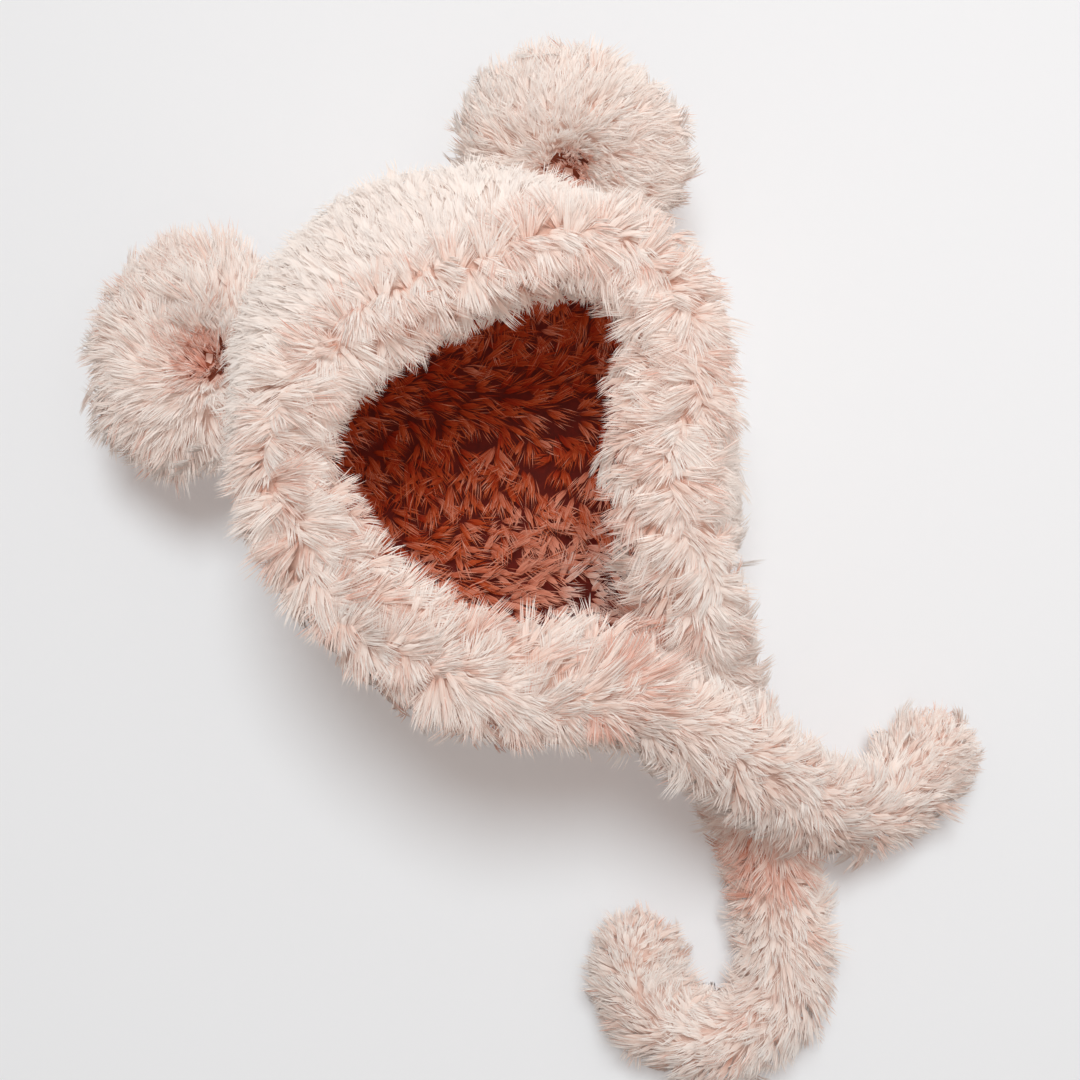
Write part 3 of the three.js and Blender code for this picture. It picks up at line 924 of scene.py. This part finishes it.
def ear_grid(ear, ground, rows=36, columns=48):
    """A flattened ball by its two angles, with a hollow pressed into its front by a Gaussian, then turned
    to its droop and bearing and put in its place."""
    half = EAR_HALF - ground
    down = np.linspace(0.02, np.pi - 0.02, rows)[:, None]
    turn = (np.arange(columns) / columns * 2 * np.pi)[None]
    x = half[0] * np.sin(down) * np.cos(turn)
    y = half[1] * np.sin(down) * np.sin(turn)
    z = -half[2] * np.cos(down) + 0 * turn
    away = np.hypot(x, y + EAR_HOLLOW_SHIFT) / EAR_HOLLOW_SPREAD
    z = z - EAR_HOLLOW_DEPTH * 0.55 * np.maximum(z, 0) / half[2] * np.exp(-away * away)
    local = np.stack([x, y, z], axis=-1)
    bearing = Matrix.Rotation(np.radians(ear["bearing"] - 90), 3, "Z")
    turned = np.array(bearing @ Matrix.Rotation(-np.radians(ear["droop"]), 3, "X"))
    place = local @ turned.T + np.array(ear["place"]) * MM
    return place, local, turned


def make_ears(materials):
    """Each ear: a padded cup, with pile that runs from its hollow out over the rim."""
    for number, (name, ear) in enumerate(EARS.items()):
        grid, local, turned = ear_grid(ear, EAR_GROUND)
        cup = put_grid(name + "_knit", grid, materials["pale_ground"], "ear_fur")
        # The pit's rosy knit is painted shade.
        pit = (np.hypot(local[..., 0], local[..., 1] + EAR_HOLLOW_SHIFT) < EAR_PIT_SHADE) & (local[..., 2] > 0)
        repaint(cup, materials["ear_pit_shade_ground"], np.flatnonzero(pit[:-1]))
        skin = Skin(grid, outward=-1)
        outwards = np.stack([local[..., 0], local[..., 1] + EAR_HOLLOW_SHIFT, 0 * local[..., 0]], axis=-1)
        flow = swirl(skin, unit(outwards) @ turned.T, 90 + number, 0.05, 0.5)
        front = smoothstep(-6 * MM, 4 * MM, local[..., 2])
        keep = np.where(local[..., 1] > -20 * MM, 0.7 + 0.5 * front, 0.0)
        row, column = skin.scatter(EAR_TUFTS, 92 + number, keep)
        away = np.linalg.norm(skin.at(outwards, row, column), axis=-1)
        height = skin.at(local, row, column)[:, 2]
        hollow = (1 - smoothstep(2 * MM, 14 * MM, away)) * (height > 0)
        back = smoothstep(0, -8 * MM, height)
        # The hollow's tint is painted shade: its pile much darker and rosier.
        # The right ear's tint is painted light: its pile a little paler, as where more light falls.
        fur = grow(
            skin, row, column, flow, EAR_PILE, 94 + number,
            scale=(1 - 0.16 * number) * (1 - 0.35 * hollow) * (1 - 0.35 * back), lean=1 - 0.3 * hollow,
            tint=0.06 * number - 1.1 * hollow,
        )
        put_fur(name + "_fur", fur, materials["ear"], "ear_fur")
        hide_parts(name)


def make_floor():
    """A plain pale floor."""
    material, shader = new_material("pale_floor", 0.7, specular=0.1)
    shader.inputs["Base Color"].default_value = (*linear(240, 240, 241), 1)
    half = 6.0
    points = np.array([(-half, -half, 0), (half, -half, 0), (half, half, 0), (-half, half, 0)])
    floor = put("floor", points, np.arange(4), np.array([4]), material)


camera_and_light()
blush = (BLUSH_ROSY, BLUSH_DULL, BLUSH_PALE)
materials = {
    "ground": ground_material("blush_ground", linear(234, 200, 184), linear(206, 150, 128)),
    "hood_ground": ground_material("hood_ground", linear(243, 222, 210), linear(228, 200, 185)),
    "pale_ground": ground_material("pale_ground", linear(239, 210, 196), linear(218, 174, 156)),
    # The ear pits' knit is painted shade.
    "ear_pit_shade_ground": ground_material("ear_pit_shade_ground", linear(158, 84, 56), linear(104, 38, 20)),
    # The inside's knit is painted shade.
    "inside_shade_ground": ground_material("inside_shade_ground", linear(112, 22, 4), linear(58, 6, 0)),
    "tie": fur_material("tie_pile", *blush),
    "trim": fur_material("trim_pile", *blush),
    "hood": fur_material("lit_hood_pile", LIT_CROWN_ROSY, LIT_CROWN_DULL, LIT_CROWN_PALE),
    "ear": fur_material("ear_pile", EAR_SHADE_ROSY, BLUSH_DULL, BLUSH_PALE),
    "inside": fur_material("inside_shade_pile", INSIDE_SHADE_ROSY, INSIDE_SHADE_DULL, INSIDE_SHADE_PALE, sheen=0.0, specular=0.1),
}
make_ties(materials)
trim_pieces = make_trim(materials)
make_hood(materials)
make_ears(materials)
make_floor()
